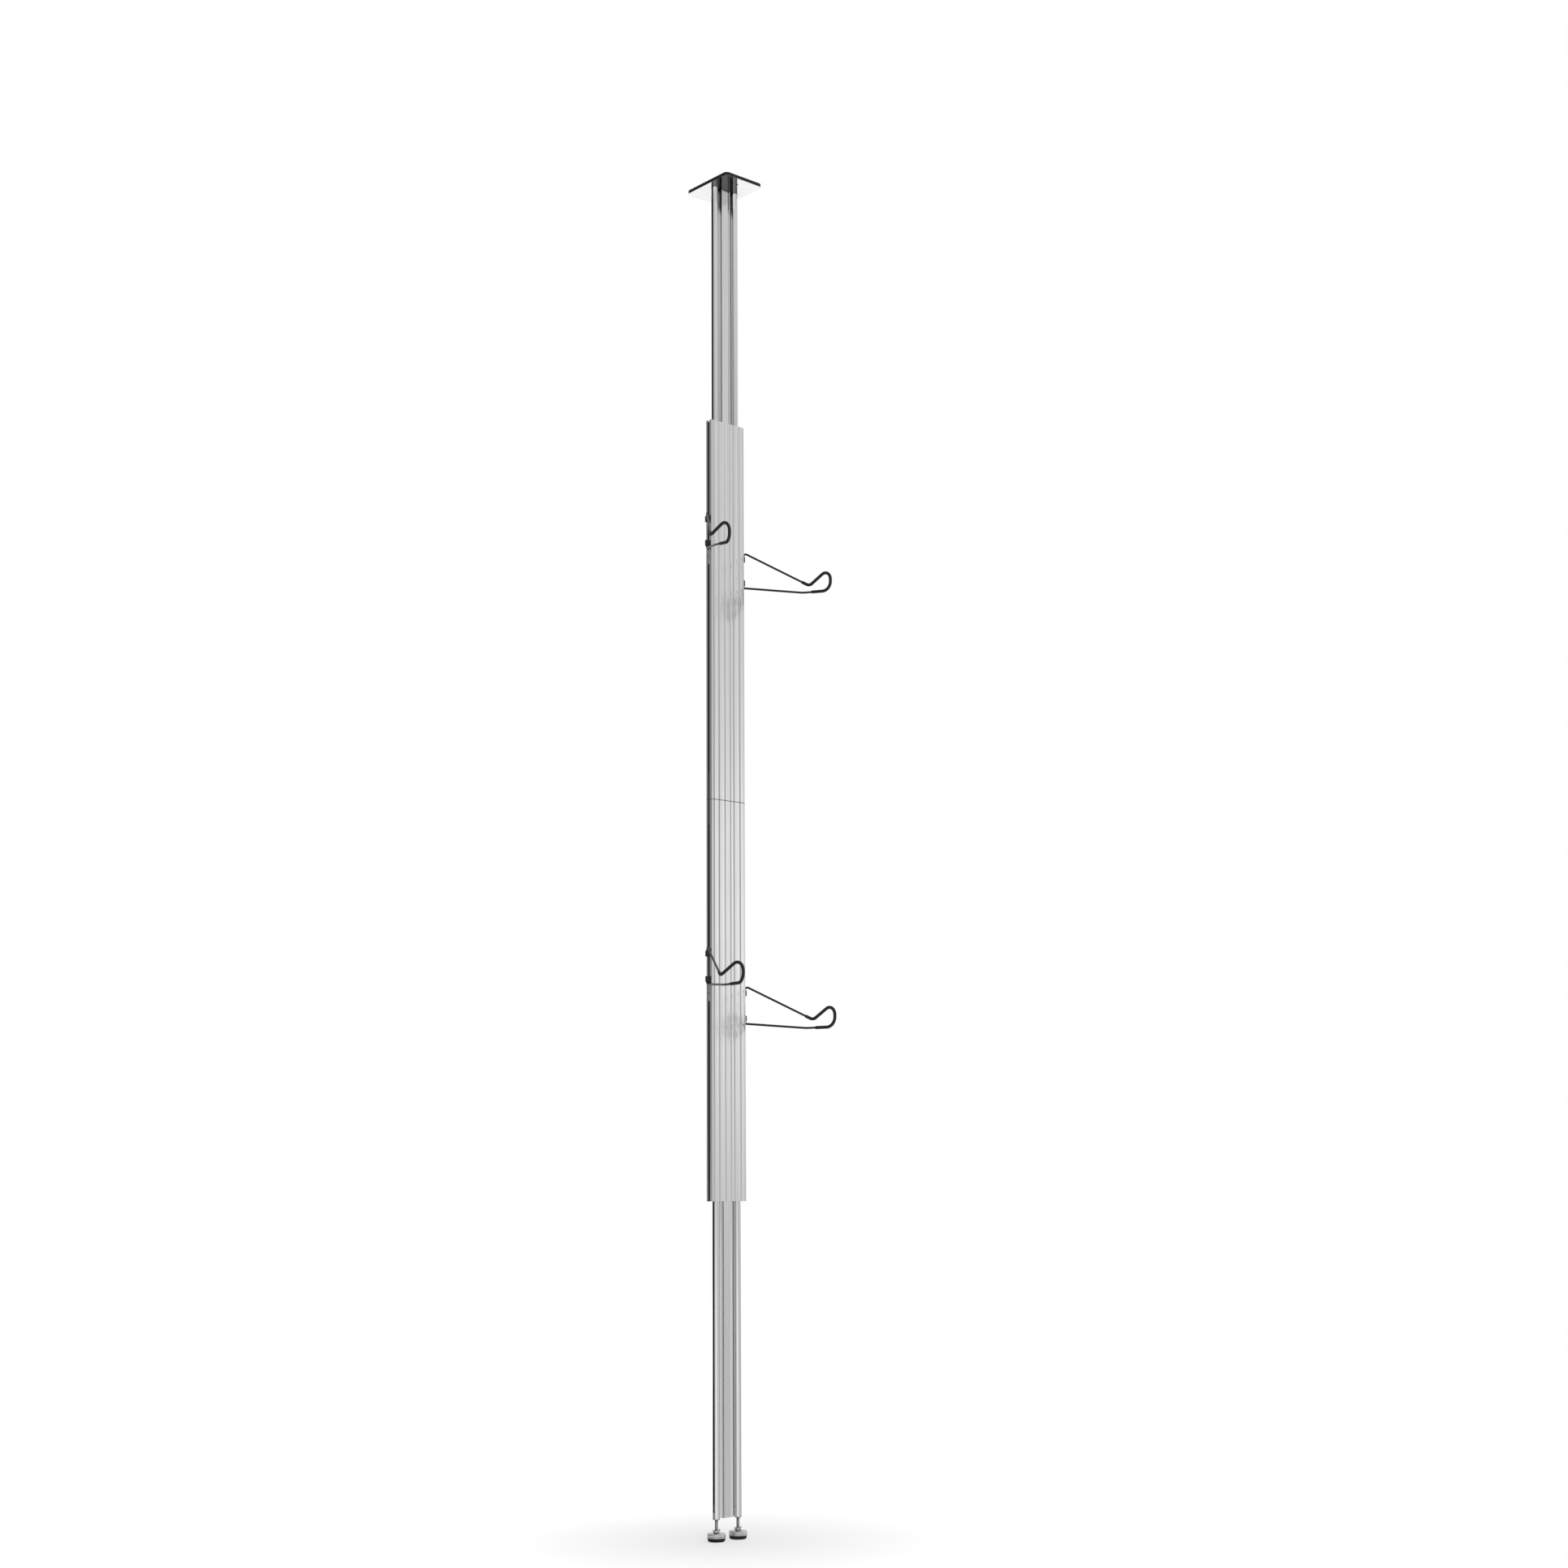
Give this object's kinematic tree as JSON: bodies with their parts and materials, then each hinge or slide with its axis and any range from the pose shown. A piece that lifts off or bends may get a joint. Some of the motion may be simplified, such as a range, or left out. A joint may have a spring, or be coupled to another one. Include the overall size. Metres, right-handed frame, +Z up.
{
  "type": "bike stand",
  "caption": "Sliding aluminium column wedged between floor and ceiling, with swinging black wire hooks for bicycles and screw-levelled feet.",
  "frame": {"origin": "middle of the ceiling face, the top of the rubber pad, on the column's axis", "axes": "+Z up along the column, towards the ceiling; -Y forward, the way the hooks point; +X to the right, seen from the front"},
  "size_m": [0.3167, 0.2888, 3.165],
  "materials": {
    "ceiling_pad": "matte black rubber sheet",
    "ceiling_plate": "bright polished plate",
    "rail_aluminium": "bright anodised, drawn lengthways",
    "sleeve_aluminium": "satin silver anodised, ribbed lengthways",
    "zinc_steel": "zinc plated",
    "foot_disc": "bright plated, knurled edge",
    "foot_rubber": "matte black rubber",
    "hook_wire": "satin black coating on steel wire",
    "hook_grip": "soft matte black tube",
    "slider_black": "moulded black",
    "clamp_bright": "bright bar"
  },
  "bodies": {
    "head": {"ceiling_pad": "ceiling_pad", "ceiling_plate": "ceiling_plate", "plate_screw_left": "zinc_steel", "plate_screw_right": "zinc_steel", "top_insert_left": "zinc_steel", "top_insert_right": "zinc_steel", "upper_rail": "rail_aluminium"},
    "column": {"upper_sleeve": "sleeve_aluminium", "lower_sleeve": "sleeve_aluminium", "splice_bar_left": "zinc_steel", "splice_bar_right": "zinc_steel", "splice_screw_upper_left": "zinc_steel", "splice_screw_upper_right": "zinc_steel", "splice_screw_lower_left": "zinc_steel", "splice_screw_lower_right": "zinc_steel", "rail_lock_screw_upper": "zinc_steel", "rail_lock_screw_lower": "zinc_steel"},
    "lower_rail": {"lower_rail": "rail_aluminium", "foot_insert_left": "zinc_steel", "foot_insert_right": "zinc_steel"},
    "foot_right": {"foot_pad_right": "foot_rubber", "foot_disc_right": "foot_disc"},
    "foot_screw_right": {"foot_rod_right": "zinc_steel", "wing_nut_right": "zinc_steel"},
    "foot_left": {"foot_pad_left": "foot_rubber", "foot_disc_left": "foot_disc"},
    "foot_screw_left": {"foot_rod_left": "zinc_steel", "wing_nut_left": "zinc_steel"},
    "slider_upper_right": {"arm_slider_upper_right": "slider_black", "slider_clamp_upper_right": "clamp_bright", "clamp_screw_upper_right": "zinc_steel"},
    "arm_upper_right": {"arm_wire_upper_right": "hook_wire", "arm_grip_upper_right": "hook_grip"},
    "slider_upper_left": {"arm_slider_upper_left": "slider_black", "slider_clamp_upper_left": "clamp_bright", "clamp_screw_upper_left": "zinc_steel"},
    "arm_upper_left": {"arm_wire_upper_left": "hook_wire", "arm_grip_upper_left": "hook_grip"},
    "slider_lower_right": {"arm_slider_lower_right": "slider_black", "slider_clamp_lower_right": "clamp_bright", "clamp_screw_lower_right": "zinc_steel"},
    "arm_lower_right": {"arm_wire_lower_right": "hook_wire", "arm_grip_lower_right": "hook_grip"},
    "slider_lower_left": {"arm_slider_lower_left": "slider_black", "slider_clamp_lower_left": "clamp_bright", "clamp_screw_lower_left": "zinc_steel"},
    "arm_lower_left": {"arm_wire_lower_left": "hook_wire", "arm_grip_lower_left": "hook_grip"}
  },
  "joints": [
    {"name": "column_slide", "type": "slide", "parent": "head", "child": "column", "axis": [0, 0, 1], "range_m": [-0.1, 0.52]},
    {"name": "lower_rail_slide", "type": "slide", "parent": "column", "child": "lower_rail", "axis": [0, 0, 1], "range_m": [-0.09, 0.5]},
    {"name": "foot_right_lift", "type": "slide", "parent": "lower_rail", "child": "foot_right", "axis": [0, 0, 1], "range_m": [-0.015, 0.0175]},
    {"name": "foot_right_screw", "type": "hinge", "parent": "foot_right", "child": "foot_screw_right", "pos_m": [0.031, 0, -3.1366], "axis": [0, 0, 1], "range_deg": [-4321, 5041]},
    {"name": "foot_left_lift", "type": "slide", "parent": "lower_rail", "child": "foot_left", "axis": [0, 0, 1], "range_m": [-0.015, 0.0175]},
    {"name": "foot_left_screw", "type": "hinge", "parent": "foot_left", "child": "foot_screw_left", "pos_m": [-0.031, 0, -3.1366], "axis": [0, 0, 1], "range_deg": [-4321, 5041]},
    {"name": "slider_upper_right_slide", "type": "slide", "parent": "column", "child": "slider_upper_right", "axis": [0, 0, 1], "range_m": [-0.42, 0.3]},
    {"name": "arm_upper_right_swing", "type": "hinge", "parent": "slider_upper_right", "child": "arm_upper_right", "pos_m": [0.056, 0, -0.997], "axis": [0, 0, 1], "range_deg": [-30, 85]},
    {"name": "slider_upper_left_slide", "type": "slide", "parent": "column", "child": "slider_upper_left", "axis": [0, 0, 1], "range_m": [-0.499, 0.22]},
    {"name": "arm_upper_left_swing", "type": "hinge", "parent": "slider_upper_left", "child": "arm_upper_left", "pos_m": [-0.056, 0, -0.918], "axis": [0, 0, 1], "range_deg": [-85, 30]},
    {"name": "slider_lower_right_slide", "type": "slide", "parent": "column", "child": "slider_lower_right", "axis": [0, 0, 1], "range_m": [-0.36, 0.36]},
    {"name": "arm_lower_right_swing", "type": "hinge", "parent": "slider_lower_right", "child": "arm_lower_right", "pos_m": [0.056, 0, -2.03], "axis": [0, 0, 1], "range_deg": [-30, 85]},
    {"name": "slider_lower_left_slide", "type": "slide", "parent": "column", "child": "slider_lower_left", "axis": [0, 0, 1], "range_m": [-0.445, 0.275]},
    {"name": "arm_lower_left_swing", "type": "hinge", "parent": "slider_lower_left", "child": "arm_lower_left", "pos_m": [-0.056, 0, -1.945], "axis": [0, 0, 1], "range_deg": [-92.5, 22.5]}
  ],
  "couplings": [
    {"joint": "foot_right_screw", "follows": "foot_right_lift", "rad_per_m": 5026.5},
    {"joint": "foot_left_screw", "follows": "foot_left_lift", "rad_per_m": 5026.5}
  ]
}
